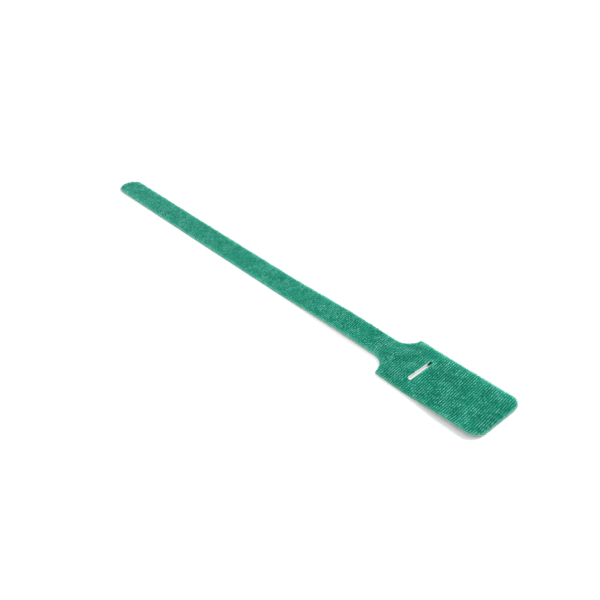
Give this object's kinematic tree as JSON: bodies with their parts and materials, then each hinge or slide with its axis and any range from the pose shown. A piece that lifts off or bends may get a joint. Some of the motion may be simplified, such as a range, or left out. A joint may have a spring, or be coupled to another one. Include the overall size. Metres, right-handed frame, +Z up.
{
  "type": "hook and loop cable tie",
  "caption": "Flat self-gripping fabric cable tie with a wide slotted head and a long narrow tail with a round tip.",
  "frame": {"origin": "on the surface that the tie lies on, under the middle of its length and width", "axes": "+X from the head to the tip of the tail, +Y across the tie, +Z up, away from the hook face"},
  "size_m": [0.2794, 0.0284, 0.0026],
  "materials": {
    "loop_face": "matte knitted loop pile with crosswise ribs, green",
    "hook_face": "pale grey-green moulded hooks on a thin film"
  },
  "bodies": {
    "root": {"cable_tie": "loop_face"}
  },
  "joints": []
}
